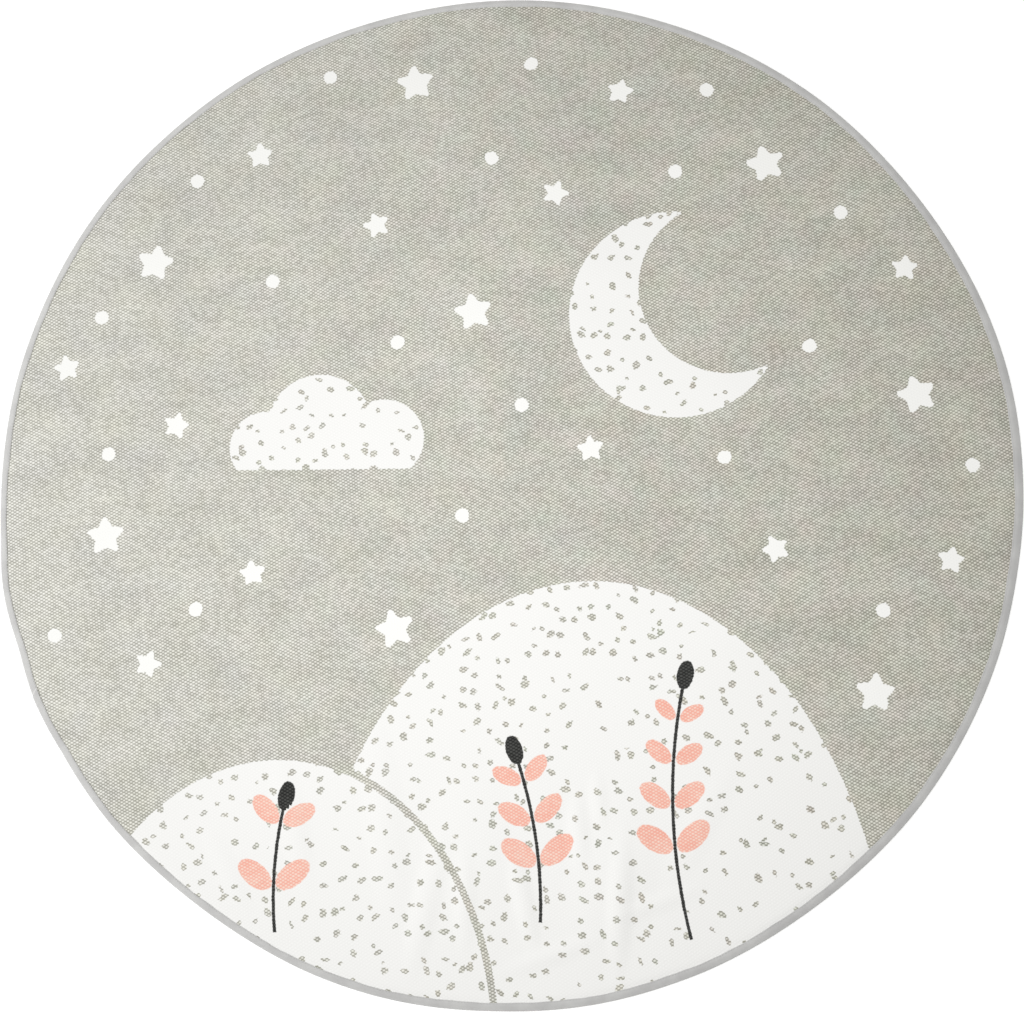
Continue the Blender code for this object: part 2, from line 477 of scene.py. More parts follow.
def store_sky():
    """Own coordinates of the nearest star or dot, and its size, which is negative for a dot."""
    stars = np.array(STARS)
    dots = np.array([(x, y, -DOT, 0.0) for x, y in DOTS])
    own = nearest(np.concatenate([stars, dots]))
    size = np.abs(own[:, 2])
    along, across = own_coordinates(own, np.radians(own[:, 3]), size, size)
    signed_size = np.repeat(own[:, 2:3], 4, axis=1)
    store_corners(cloth.data, "sky", np.stack([along, across, signed_size], axis=-1))
    return len(stars), len(dots)


print("stars and dots:", store_sky())

# %% [markdown]
# A sprig is a bent stem with pairs of round leaves and a dark bud at its tip. The stem is an arc of
# a circle, so a point's distance across it is its distance from the arc's middle less the radius.
# Leaves sit along the arc at even steps and get smaller towards the tip.

# %% Sprigs: stems, leaves and buds
SPRIGS = (
    # foot x, foot y, bearing in degrees, length, bend in degrees, pairs of leaves
    (0.175, -0.435, 104.0, 0.235, -26.0, 4),
    (0.035, -0.420, 88.0, 0.150, 20.0, 3),
    (-0.215, -0.430, 96.0, 0.115, -18.0, 2),
)
STEM_HALF_WIDTH = 0.0016
LEAF_HALF_LENGTH = 0.0190
LEAF_SLIMNESS = 0.56
LEAF_SHRINK = 0.12
LEAF_SPREAD = 52.0
LEAF_GAP = 0.0038
FIRST_LEAF = 0.34
LAST_LEAF = 0.86
BUD_HALF_LENGTH = 0.0140
BUD_HALF_WIDTH = 0.0080
BUD_GAP = -0.0021


def stem_arc(sprig):
    """Bearing at the foot, turn, radius, and the middle of the circle that the stem is part of.
    A stem that bends to the right has a negative turn and radius."""
    x, y, bearing, length, bend, _ = sprig
    start, turn = math.radians(bearing), math.radians(bend)
    radius = length / turn
    return start, turn, radius, x - radius * math.sin(start), y + radius * math.cos(start)


def stem_point(sprig, share):
    """Point and direction at a share of the stem's length."""
    start, turn, radius, middle_x, middle_y = stem_arc(sprig)
    here = start + turn * share
    return middle_x + radius * math.sin(here), middle_y - radius * math.cos(here), here


def oval(x, y, direction, gap, half_length, half_width, ink):
    """Row for a leaf or bud that starts at a gap from a point and lies in a direction from it."""
    away = half_length + gap
    middle = (x + away * math.cos(direction), y + away * math.sin(direction))
    return (*middle, direction, half_length, half_width, ink)


def sprig_leaves(sprig):
    """Rows of x, y, direction, half length, half width and ink: 1 for coral, -1 for charcoal."""
    rows = []
    pairs = sprig[5]
    spread = math.radians(LEAF_SPREAD)
    for pair in range(pairs):
        share = FIRST_LEAF + (LAST_LEAF - FIRST_LEAF) * pair / max(pairs - 1, 1)
        x, y, here = stem_point(sprig, share)
        reach = LEAF_HALF_LENGTH * (1.0 - LEAF_SHRINK * pair)
        for out in (here + spread, here - spread):
            rows.append(oval(x, y, out, LEAF_GAP, reach, reach * LEAF_SLIMNESS, 1.0))
    tip = stem_point(sprig, 1.0)
    rows.append(oval(*tip, BUD_GAP, BUD_HALF_LENGTH, BUD_HALF_WIDTH, -1.0))
    return rows


def store_leaves():
    """Own coordinates of the nearest leaf or bud, and its half width with its ink's sign."""
    table = np.array([row for sprig in SPRIGS for row in sprig_leaves(sprig)])
    own = nearest(table)
    along, across = own_coordinates(own, own[:, 2], own[:, 3], own[:, 4])
    ink = np.repeat((own[:, 4] * own[:, 5])[:, None], 4, axis=1)
    store_corners(cloth.data, "leaf", np.stack([along, across, ink], axis=-1))
    return len(table)


def store_stems():
    """Distance across the nearest stem, distance along it from its middle, and half its length."""
    values, gaps = [], []
    for sprig in SPRIGS:
        start, turn, radius, middle_x, middle_y = stem_arc(sprig)
        half = radius * turn / 2
        right, up = face_corners[:, :, 0] - middle_x, face_corners[:, :, 1] - middle_y
        across = np.hypot(right, up) - abs(radius)
        halfway = start + turn / 2 - math.copysign(TAU / 4, turn)
        swing = (np.arctan2(up, right) - halfway + TAU / 2) % TAU - TAU / 2
        along = swing * abs(radius)
        values.append(np.stack([across, along, np.full_like(across, half)], axis=-1))
        beyond = np.maximum(np.abs(along) - half, 0.0)
        gaps.append(np.hypot(across, beyond).min(axis=1))
    closest = np.argmin(gaps, axis=0)
    store_corners(cloth.data, "stem", np.stack(values)[closest, np.arange(len(closest))])


print("leaves and buds:", store_leaves())
store_stems()

# %% [markdown]
# The hills, the moon and the cloud are white fields. They are large and smooth, so one number at
# each point of the face is enough: how far the point lies outside the nearest white field, below 0
# inside it. An ellipse gives that number closely, unions take the smaller of two, and a cut takes
# the larger of one and the other's negative.

# %% White fields as a distance at each point
HILL = (0.085, -0.500, 0.275, 0.400)
FRONT_HILL = (-0.215, -0.530, 0.205, 0.260)
HILL_GAP = 0.0065
MOON = (0.170, 0.165, 0.105, 0.105)
MOON_CUT = (0.222, 0.192, 0.088, 0.088)
CLOUD_PUFFS = (
    # x, y, radius
    (-0.235, 0.035, 0.036),
    (-0.182, 0.056, 0.052),
    (-0.118, 0.042, 0.040),
    (-0.175, 0.024, 0.030),
)
CLOUD_BASE = 0.012
LEAST_SLOPE = 1e-6


def outside_ellipse(x, y, ellipse):
    """Scaled radius k less 1, times k over the length of its slope: about the distance outside."""
    middle_x, middle_y, half_x, half_y = ellipse
    scaled = np.hypot((x - middle_x) / half_x, (y - middle_y) / half_y)
    slope = np.hypot((x - middle_x) / half_x**2, (y - middle_y) / half_y**2)
    return scaled * (scaled - 1.0) / np.maximum(slope, LEAST_SLOPE)


def outside_white(x, y):
    """Distance outside the nearest of the hills, the moon and the cloud."""
    front = outside_ellipse(x, y, FRONT_HILL)
    hills = np.minimum(front, np.maximum(outside_ellipse(x, y, HILL), HILL_GAP - front))
    moon = np.maximum(outside_ellipse(x, y, MOON), -outside_ellipse(x, y, MOON_CUT))
    puffs = [outside_ellipse(x, y, (px, py, radius, radius)) for px, py, radius in CLOUD_PUFFS]
    cloud = np.maximum(np.minimum.reduce(puffs), CLOUD_BASE - y)
    return np.minimum.reduce([hills, moon, cloud])


def store_white():
    """The distance as an attribute of the mesh's points, and the share of the face inside it."""
    places = np.empty(len(cloth.data.vertices) * 3, np.float32)
    cloth.data.vertices.foreach_get("co", places)
    places = places.reshape(-1, 3)
    outside = outside_white(places[:, 0].astype(float), places[:, 1].astype(float))
    attribute = cloth.data.attributes.new("outside_white", "FLOAT", "POINT")
    attribute.data.foreach_set("value", outside.astype(np.float32))
    quads = face_corners.mean(axis=1)
    return float((outside_white(quads[:, 0], quads[:, 1]) < 0.0).mean())


print(f"white fields: {store_white():.0%} of the face's quads")

# %% [markdown]
# ## Writing a material as a formula
# The cloth's material is a long formula, and long chains of Math nodes are hard to read when each
# link is written out. So a shader value is wrapped in a small class, whose plus, minus and times
# signs each add one Math node. The material below then reads like the numpy code above.

# %% Shader values that can be added and multiplied


class Value:
    """One number in a material. Arithmetic on it adds Math nodes to the material's tree."""

    def __init__(self, tree, socket):
        self.tree = tree
        self.socket = socket

    def __add__(self, other):
        return calc(self.tree, "ADD", self, other)

    def __sub__(self, other):
        return calc(self.tree, "SUBTRACT", self, other)

    def __mul__(self, other):
        return calc(self.tree, "MULTIPLY", self, other)

    def __truediv__(self, other):
        return calc(self.tree, "DIVIDE", self, other)

    def __neg__(self):
        return calc(self.tree, "MULTIPLY", self, -1.0)

    __radd__ = __add__
    __rmul__ = __mul__

    def __rsub__(self, other):
        return calc(self.tree, "SUBTRACT", other, self)

    def smaller(self, other):
        return calc(self.tree, "MINIMUM", self, other)

    def larger(self, other):
        return calc(self.tree, "MAXIMUM", self, other)

    def above(self, other):
        return calc(self.tree, "GREATER_THAN", self, other)

    def magnitude(self):
        return calc(self.tree, "ABSOLUTE", self)

    def cosine(self):
        return calc(self.tree, "COSINE", self)

    def sine(self):
        return calc(self.tree, "SINE", self)

    def nearest_whole(self):
        return calc(self.tree, "ROUND", self)

    def swing(self, amount):
        """How far the value lies above a half, times an amount."""
        return (self - 0.5) * amount

    def between(self, low, high):
        """From low where the value is 0 to high where it is 1."""
        return self * (high - low) + low


def feed(tree, slots, values):
    """Link each slot to its shader value, or set it to its plain number."""
    for slot, value in zip(slots, values):
        if isinstance(value, Value):
            tree.links.new(value.socket, slot)
        else:
            slot.default_value = value


def calc(tree, operation, *values):
    """Math node of one operation on shader values or plain numbers."""
    node = tree.nodes.new("ShaderNodeMath")
    node.operation = operation
    feed(tree, node.inputs, values)
    return Value(tree, node.outputs[0])


def length_of(x, y):
    """Square root of x squared plus y squared."""
    return calc(x.tree, "SQRT", x * x + y * y)


def step_down(value, softness):
    """1 where the value is well below 0 and 0 where it is above, with a soft edge between."""
    tree = value.tree
    node = tree.nodes.new("ShaderNodeMapRange")
    node.interpolation_type = "SMOOTHSTEP"
    node.inputs["From Min"].default_value = -softness
    node.inputs["From Max"].default_value = softness
    node.inputs["To Min"].default_value = 1.0
    node.inputs["To Max"].default_value = 0.0
    tree.links.new(value.socket, node.inputs["Value"])
    return Value(tree, node.outputs["Result"])


def blend_colour(tree, share, low, high):
    """Colour from low to high by a share. Each colour is a socket or plain red, green and blue."""
    node = tree.nodes.new("ShaderNodeMix")
    node.data_type = "RGBA"
    tree.links.new(share.socket, node.inputs[0])
    for slot, colour in ((node.inputs[6], low), (node.inputs[7], high)):
        if isinstance(colour, tuple):
            slot.default_value = (*colour, 1.0)
        else:
            tree.links.new(colour, slot)
    return node.outputs[2]


def combined(tree, x, y, z=0.0):
    """Vector socket from three values or plain numbers."""
    node = tree.nodes.new("ShaderNodeCombineXYZ")
    feed(tree, node.inputs, (x, y, z))
    return node.outputs[0]


def parts_of(tree, vector):
    """The three numbers of a vector socket."""
    node = tree.nodes.new("ShaderNodeSeparateXYZ")
    tree.links.new(vector, node.inputs[0])
    return [Value(tree, output) for output in node.outputs]


def corner_numbers(tree, name):
    """The three numbers of a stored attribute."""
    node = tree.nodes.new("ShaderNodeAttribute")
    node.attribute_name = name
    return parts_of(tree, node.outputs["Vector"])


def place_on_rug(tree):
    """Place on the rug in metres, alike for all the pieces because each lies at the origin."""
    return tree.nodes.new("ShaderNodeTexCoord").outputs["Object"]


def noise_texture(tree, vector, scale, detail=2.0, roughness=0.5):
    """Noise node at a place, with scale in waves to the metre."""
    node = tree.nodes.new("ShaderNodeTexNoise")
    node.noise_dimensions = "2D"
    node.inputs["Scale"].default_value = scale
    node.inputs["Detail"].default_value = detail
    node.inputs["Roughness"].default_value = roughness
    tree.links.new(vector, node.inputs["Vector"])
    return node


def noise(tree, vector, *settings):
    """One number from about 0 to 1, from a noise's scale, detail and roughness."""
    return Value(tree, noise_texture(tree, vector, *settings).outputs["Fac"])


COTTON_SPECULAR = 0.18
SHEEN_ROUGHNESS = 0.6


def new_material(name, roughness, sheen):
    """Cloth shader with nothing linked yet: matt, with the faint sheen of cotton fibre."""
    material = bpy.data.materials.new(name)
    material.use_nodes = True
    shader = material.node_tree.nodes["Principled BSDF"]
    shader.inputs["Roughness"].default_value = roughness
    shader.inputs["Specular IOR Level"].default_value = COTTON_SPECULAR
    shader.inputs["Sheen Weight"].default_value = sheen
    shader.inputs["Sheen Roughness"].default_value = SHEEN_ROUGHNESS
    return material, material.node_tree, shader


def link_looks(tree, shader, colour, height, depth, strength=None):
    """Colour, and a bump from a height that runs from 0 to 1, where 1 stands for a depth in metres.
    Where ink fills the weave, the strength falls. It is a value of its own, because the render
    works out all that feeds the height three times."""
    tree.links.new(colour, shader.inputs["Base Color"])
    node = tree.nodes.new("ShaderNodeBump")
    node.inputs["Strength"].default_value = 1.0
    node.inputs["Distance"].default_value = depth
    if strength is not None:
        tree.links.new(strength.socket, node.inputs["Strength"])
    tree.links.new(height.socket, node.inputs["Height"])
    tree.links.new(node.outputs["Normal"], shader.inputs["Normal"])


# %% [markdown]
# ## The weave
# In a plain weave the yarns pass over each other in turn, so the raised tips stand like the black
# squares of a chessboard. With warp yarns every 2.5 mm and picks every 1.5 mm, the product of two
# cosines is 1 at each tip and -1 at each hollow. A weaker wave across the warp alone keeps the tips
# apart, so that they read as round grains. The cloth lies turned by five degrees, as it was cut,
# and its yarns wander a little, which a noise of several sizes gives.

# %% Weave coordinates, tip heights and a random number for each tip
WARP_PITCH = 0.00254
PICK_PITCH = 0.00153
WEAVE_TURN = math.radians(5.4)
WARP_WAVE = 0.22
HEIGHT_SCALE = 0.45
YARN_WANDER = 0.0034
# Noise as waves to the metre, detail and roughness
WANDER_WAVES = (16.0, 3.5, 0.68)


def weave(tree):
    """Place on the rug and in the weave, tip height from about 0 in a hollow to 1 on a tip, and a
    random number for each tip."""
    place = place_on_rug(tree)
    drift = parts_of(tree, noise_texture(tree, place, *WANDER_WAVES).outputs["Color"])
    x, y, _ = parts_of(tree, place)
    cosine, sine = math.cos(WEAVE_TURN), math.sin(WEAVE_TURN)
    along = x * cosine + y * sine + drift[0] * YARN_WANDER
    across = y * cosine - x * sine + drift[1] * YARN_WANDER
    warp = along / WARP_PITCH
    pick = across / PICK_PITCH
    crossings = (warp * (TAU / 2)).cosine() * (pick * (TAU / 2)).cosine()
    height = (crossings + (warp * TAU).cosine() * WARP_WAVE) * HEIGHT_SCALE + HEIGHT_SCALE
    one = ((warp + pick) * 0.5).nearest_whole()
    other = ((warp - pick) * 0.5).nearest_whole()
    white_noise = tree.nodes.new("ShaderNodeTexWhiteNoise")
    white_noise.noise_dimensions = "2D"
    tree.links.new(combined(tree, one, other), white_noise.inputs["Vector"])
    chance = Value(tree, white_noise.outputs["Value"])
    return place, along, across, height, chance


# %% [markdown]
# ## The printed face
# The ground is grey ink over natural cotton: ivory on the tips, where it is thin, and dark in the
# hollows. It is painted lighter at the -X side and darker at the +X side, a painted light fall-off
# across the rug, and its tone drifts in soft blotches, stretched along the picks, with a hint of
# pink, green and straw. The white ink is thick and all but hides the weave, except in the bare
# specks that are left in it, each a cell of its own on a loose lattice. Ink catches on the tips
# first, so every edge of the print is moved by the tip's height and comes out ragged, and a bare
# speck reaches farther along the hollows.

# %% Inks of the printed face, their edges and their drifts
# Ground inks: the lighter -X pair and the darker +X pair make a painted light fall-off across the rug
TIP_PAINTED_LIT_SIDE = (0.947, 0.940, 0.883)
TIP_PAINTED_SHADED_SIDE = (0.803, 0.788, 0.702)
HOLLOW_PAINTED_LIT_SIDE = (0.375, 0.370, 0.324)
HOLLOW_PAINTED_SHADED_SIDE = (0.270, 0.263, 0.217)
WHITE_INK = (0.985, 0.982, 0.973)
WHITE_IN_HOLLOWS = 0.94
STAR_INK = (0.992, 0.991, 0.975)
CORAL_TIP = (0.995, 0.762, 0.662)
CORAL_HOLLOW = (0.947, 0.442, 0.352)
CHARCOAL = (0.0125, 0.0130, 0.0125)
CHARCOAL_TIP = (0.0800, 0.0810, 0.0770)
EDGE_SOFTNESS = 0.00035
INK_ON_TIPS = 0.0009
INK_CHANCE = 0.0007
# Heights in the weave where thin ink on the tips passes over into thick ink in the hollows
TIP_LEVEL = 0.455
TIP_SOFTNESS = 0.46
CORAL_LEVEL = 0.53
CORAL_SOFTNESS = 0.56
TIP_CHANCE = 0.32
HOLLOW_CHANCE = 0.3
# Shares of the ragged edge that a kind of ink takes
SPECK_RAGGED = 0.9
CORAL_RAGGED = 0.6
CHARCOAL_RAGGED = 0.5
# Strength of the blotches in the tips, in the tone and in the coral, and of the other drifts
BLOTCH_IN_TIPS = 0.13
BLOTCH_IN_TONE = 0.17
BLOTCH_IN_CORAL = 0.9
SLOW_STRENGTH = 0.08
PINK_STRENGTH = 0.26
PINK_LIMIT = 0.6
PINK_IN_RED = 0.6
PINK_IN_GREEN = 0.4
STRAW_STRENGTH = 0.10
BLOTCH_STRETCH = 0.45
# Noises as waves to the metre, detail and roughness
BLOTCHES = (26.0, 4.0, 0.62)
SLOW_DRIFT = (3.2, 2.0)
PINK_DRIFT = (36.0, 3.0)
STRAW_DRIFT = (24.0, 2.0)
STAR_WOBBLES = (95.0, 1.0)
SPECK_PATCHES = (11.0, 1.0)
SPECK_WOBBLES = (190.0, 1.0)
STAR_POINT = 0.84
STAR_NOTCH = 0.43
STAR_ROUNDING = 0.16
SPECK_PITCH = 0.0164
SPECK_RADII = (0.0019, 0.003876)
# Factors for distances along and across a speck, from its random number 0 to 1: the higher the
# number, the longer and slimmer the speck
SPECK_ALONG = (1.10, 0.75)
SPECK_ACROSS = (0.90, 1.50)
SPECK_SWING = math.radians(130.0)
SPECK_LEAN = math.radians(-12.0)
SPECK_SCATTER = 0.90
SPECK_MISSING = 0.24
PATCH_STRENGTH = 1.1
SPECK_WOBBLE = 0.0042
DENSE_BAND = 0.050
DENSE_SOFTNESS = 0.040
DENSE_STRENGTH = 0.16
STAR_WOBBLE = 0.0022
INK_FILLS_WEAVE = 0.6
WEAVE_DEPTH = 0.00022
print(f"ink's edges are ragged by {INK_ON_TIPS * 1000:.1f} mm, one speck in {SPECK_PITCH * 1000:.0f} mm")

# %% [markdown]
# The outlines in the print are drawn as distances: one function for stars and dots, one for leaves
# and stems, and one for the bare specks. An edge that is made from a distance stays crisp at any
# size, and the ragged shift by the weave is simply added to it.

# %% Distances outside the shapes of the print


def star_or_dot(tree):
    """Distance outside the nearest star or dot. A star's edge is one straight line, folded five
    ways and mirrored, with a rounding added all round it."""
    along, across, signed_size = corner_numbers(tree, "sky")
    size = signed_size.magnitude()
    reach = length_of(along, across)
    # Angle from the nearest point of the star: 0 at the point and 36 degrees at a notch
    turn = calc(tree, "ARCTAN2", along, across)
    fold = calc(tree, "WRAP", turn, TAU / 10, -TAU / 10).magnitude()
    from_point = reach * fold.cosine() - STAR_POINT
    aside = reach * fold.sine()
    edge_x = STAR_NOTCH * math.cos(TAU / 10) - STAR_POINT
    edge_y = STAR_NOTCH * math.sin(TAU / 10)
    edge = math.hypot(edge_x, edge_y)
    edge_x, edge_y = edge_x / edge, edge_y / edge
    run = (from_point * edge_x + aside * edge_y).larger(0.0).smaller(edge)
    gap = length_of(from_point - run * edge_x, aside - run * edge_y)
    outside = (from_point * edge_y - aside * edge_x).above(0.0) * 2.0 - 1.0
    star = gap * outside - STAR_ROUNDING
    is_star = signed_size.above(0.0)
    dot = reach - 1.0
    return (star * is_star + dot * (1.0 - is_star)) * size


def leaf_inks(tree):
    """Distance outside the nearest coral leaf and outside the nearest charcoal bud or stem."""
    along, across, signed_width = corner_numbers(tree, "leaf")
    outside = (length_of(along, across) - 1.0) * signed_width.magnitude()
    is_coral = signed_width.above(0.0)
    coral = outside + (1.0 - is_coral)
    bud = outside + is_coral
    stem_across, stem_along, half = corner_numbers(tree, "stem")
    stem = (stem_across.magnitude() - STEM_HALF_WIDTH).larger(stem_along.magnitude() - half)
    return coral, bud.smaller(stem)


def specks(tree, place, depth):
    """Distance outside the nearest bare speck in a white field. A speck is a wobbly oval round its
    cell's point, turned and drawn out by the cell's own random numbers. Cells are left without one
    in loose patches, and less often near the field's edge."""
    cells = tree.nodes.new("ShaderNodeTexVoronoi")
    cells.voronoi_dimensions = "2D"
    cells.inputs["Scale"].default_value = 1.0 / SPECK_PITCH
    cells.inputs["Randomness"].default_value = SPECK_SCATTER
    tree.links.new(place, cells.inputs["Vector"])
    chance, size, turn = parts_of(tree, cells.outputs["Color"])
    x, y, _ = parts_of(tree, place)
    middle_x, middle_y, _ = parts_of(tree, cells.outputs["Position"])
    right, up = x - middle_x, y - middle_y
    turn = turn.swing(SPECK_SWING) + SPECK_LEAN
    along = (right * turn.cosine() + up * turn.sine()) * chance.between(*SPECK_ALONG)
    across = (up * turn.cosine() - right * turn.sine()) * chance.between(*SPECK_ACROSS)
    near_edge = step_down(depth - DENSE_BAND, DENSE_SOFTNESS) * DENSE_STRENGTH
    patches = noise(tree, place, *SPECK_PATCHES).swing(PATCH_STRENGTH)
    missing = (SPECK_MISSING + patches - chance - near_edge).above(0.0)
    wobble = noise(tree, place, *SPECK_WOBBLES).swing(SPECK_WOBBLE)
    return length_of(along, across) - size.between(*SPECK_RADII) - wobble + missing


# %% [markdown]
# The inks are laid in the order in which a printer would screen them: the ground, the white fields,
# the stars, the coral and the charcoal. Each is blended over what lies under it. The coral is a
# thin ink too, so it is pale on the tips and strong in the hollows.

# %% Material of the printed face


def multiplied(tree, colour, factors):
    """Colour socket times a vector socket, channel by channel."""
    node = tree.nodes.new("ShaderNodeVectorMath")
    node.operation = "MULTIPLY"
    tree.links.new(colour, node.inputs[0])
    tree.links.new(factors, node.inputs[1])
    return node.outputs[0]


def grey_ground(tree, place, along, tip, blotch):
    """Tip and hollow inks, painted lighter at the -X side and darker at the +X side as a painted light
    fall-off, times a drifting tone that is tinted pink or green, the more so towards +X, and straw."""
    # Share of the way towards +X: it blends the ground's painted light fall-off and sets how strong the
    # pink is
    toward_shaded_side = along / (2 * RUG_RADIUS) + 0.5
    hollow_ink = blend_colour(tree, toward_shaded_side, HOLLOW_PAINTED_LIT_SIDE, HOLLOW_PAINTED_SHADED_SIDE)
    tip_ink = blend_colour(tree, toward_shaded_side, TIP_PAINTED_LIT_SIDE, TIP_PAINTED_SHADED_SIDE)
    slow = noise(tree, place, *SLOW_DRIFT).swing(SLOW_STRENGTH)
    tone = 1.0 + blotch.swing(BLOTCH_IN_TONE) + slow
    pink = noise(tree, place, *PINK_DRIFT).swing(toward_shaded_side.smaller(PINK_LIMIT)) * PINK_STRENGTH
    straw = noise(tree, place, *STRAW_DRIFT).swing(STRAW_STRENGTH)
    tinted = combined(tree, tone + pink * PINK_IN_RED, tone - pink * PINK_IN_GREEN, tone - straw)
    return multiplied(tree, blend_colour(tree, tip, hollow_ink, tip_ink), tinted)


def white_field(tree, place, ragged):
    """1 in the white fields and 0 outside them and in their bare specks."""
    distance = tree.nodes.new("ShaderNodeAttribute")
    distance.attribute_name = "outside_white"
    outside = Value(tree, distance.outputs["Fac"])
    bare = step_down(specks(tree, place, -outside) - ragged * SPECK_RAGGED, EDGE_SOFTNESS)
    return step_down(outside + ragged, EDGE_SOFTNESS) * (1.0 - bare)


def printed_face():
    """Ground, white fields with specks, stars, dots, coral leaves and charcoal stems, in turn."""
    material, tree, shader = new_material("printed cotton", roughness=0.88, sheen=0.06)
    place, along, across, height, chance = weave(tree)
    blotch = noise(tree, combined(tree, along * BLOTCH_STRETCH, across), *BLOTCHES)
    lift = height + chance.swing(height + HOLLOW_CHANCE) * TIP_CHANCE
    tip = step_down(TIP_LEVEL - lift - blotch.swing(BLOTCH_IN_TIPS), TIP_SOFTNESS)
    ragged = height.swing(-INK_ON_TIPS) + chance.swing(INK_CHANCE)

    white = white_field(tree, place, ragged)
    white_hollow = tuple(value * WHITE_IN_HOLLOWS for value in WHITE_INK)
    white_ink = blend_colour(tree, height, white_hollow, WHITE_INK)
    colour = blend_colour(tree, white, grey_ground(tree, place, along, tip, blotch), white_ink)

    wobble = noise(tree, place, *STAR_WOBBLES).swing(STAR_WOBBLE)
    star = step_down(star_or_dot(tree) + ragged + wobble, EDGE_SOFTNESS)
    colour = blend_colour(tree, star, colour, STAR_INK)

    coral, charcoal = leaf_inks(tree)
    thin = step_down(CORAL_LEVEL - lift + blotch.swing(BLOTCH_IN_CORAL), CORAL_SOFTNESS)
    coral_ink = blend_colour(tree, thin, CORAL_HOLLOW, CORAL_TIP)
    leaf = step_down(coral + ragged * CORAL_RAGGED, EDGE_SOFTNESS)
    colour = blend_colour(tree, leaf, colour, coral_ink)
    charcoal_ink = blend_colour(tree, tip, CHARCOAL, CHARCOAL_TIP)
    stem = step_down(charcoal + ragged * CHARCOAL_RAGGED, EDGE_SOFTNESS)
    colour = blend_colour(tree, stem, colour, charcoal_ink)
    strength = 1.0 - (white + star) * INK_FILLS_WEAVE
    link_looks(tree, shader, colour, height, WEAVE_DEPTH, strength)
    return material


cloth.data.materials.append(printed_face())
print("printed face:", len(cloth.data.materials[0].node_tree.nodes), "nodes")

# %% [markdown]
# ## The back
# The back is the same cloth without ink: natural cotton with its tips and hollows, a few darker
# seed flecks, and the faint shadow of yarns that are thicker than their neighbours.

# %% Material of the plain back
NATURAL_TIP = (0.760, 0.700, 0.590)
NATURAL_HOLLOW = (0.520, 0.465, 0.370)
FLECK = (0.250, 0.190, 0.120)
NATURAL_CHANCE = 0.3
NATURAL_SOFTNESS = 0.45
THICK_YARNS = (420.0, 1.0)
THICK_STRETCH = 0.05
THICK_STRENGTH = 0.9
SEED_FLECKS = (330.0, 1.0)
FLECK_LEVEL = 0.80
FLECK_SOFTNESS = 0.02
FLECK_STRENGTH = 0.7


def plain_back():
    """Natural cotton: weave tones, thick and thin yarns, and seed flecks."""
    material, tree, shader = new_material("natural cotton", roughness=0.92, sheen=0.08)
    place, along, across, height, chance = weave(tree)
    tip = step_down(0.5 - height - chance.swing(NATURAL_CHANCE), NATURAL_SOFTNESS)
    colour = blend_colour(tree, tip, NATURAL_HOLLOW, NATURAL_TIP)
    thick = noise(tree, combined(tree, along * THICK_STRETCH, across), *THICK_YARNS)
    colour = blend_colour(tree, thick.swing(THICK_STRENGTH).larger(0.0), colour, NATURAL_TIP)
    fleck = step_down(FLECK_LEVEL - noise(tree, place, *SEED_FLECKS), FLECK_SOFTNESS)
    colour = blend_colour(tree, fleck * FLECK_STRENGTH, colour, FLECK)
    link_looks(tree, shader, colour, height, WEAVE_DEPTH)
    return material


cloth.data.materials.append(plain_back())

# %% [markdown]
# ## The edge tape
# The tape is a long strip folded in half over the rim. Its cut, a thin C, is carried round the rim
# line: rounded at the fold, a little crowned, and pressed in where the stitches run close to its
# inner edge. Small puckers show where the thread draws it in. Its two ends are lapped at the lower
# left, where the upper end is cut at a slant and stands a little higher.

# %% Cut through the folded tape
FOLD_ANGLES = np.radians(np.linspace(90.0, -90.0, 11))
FOLD_TOP = RIM_HEIGHT - 0.00042
TAPE_BACK = (
    # share of the flat width from the fold to the inner edge, height over the rim, pucker
    (1.000, -0.00036, 1.0),
    (0.992, -0.00018, 1.0),
    (0.965, -0.00008, 1.0),
    (0.905, -0.00004, 1.0),
    (0.850, -0.00009, 1.0),
    (0.795, -0.00002, 1.0),
    (0.700, 0.00005, 1.0),
    (0.560, 0.00009, 0.9),
    (0.420, 0.00007, 0.8),
    (0.290, -0.00004, 0.6),
    (0.160, -0.00019, 0.3),
)
STITCH_SHARE = 0.85


def fold_points(thickness):
    """Rows along half an ellipse round the fold, a thickness in from the tape's outside."""
    inset = thickness + (TAPE_FOLD_DEPTH - thickness) * (1.0 - np.cos(FOLD_ANGLES))
    height = FOLD_TOP / 2 + (FOLD_TOP / 2 - thickness) * np.sin(FOLD_ANGLES)
    return [(fixed, 0.0, level, 0.0) for fixed, level in zip(inset, height)]


def tape_cut():
    """Rows of inset, share of the flat width, height and pucker, down the outside and back up."""
    depth, under = TAPE_FOLD_DEPTH, RIM_HEIGHT - TAPE_THICKNESS
    outside = [(depth, share, RIM_HEIGHT + over, pucker) for share, over, pucker in TAPE_BACK]
    outside += fold_points(0.0)
    outside += [(depth, 0.50, 0.0, 0.0), (depth, 1.00, 0.0, 0.0)]
    inside = [(depth, 1.00, under, 1.0), (depth, 0.50, under, 0.5)]
    inside += fold_points(TAPE_THICKNESS)
    inside += [(depth, 0.50, TAPE_THICKNESS, 0.0), (depth, 1.00, TAPE_THICKNESS, 0.0)]
    return np.array(outside + inside[::-1])


cut = tape_cut()
print("points round the tape's cut:", len(cut))

# %% [markdown]
# The stations round the rim are even, with more of them at the lap, where the shape is small. Two
# sets of waves make the puckers and the wavy inner edge. Each wave goes a whole number of times
# round the rug, so it closes up.

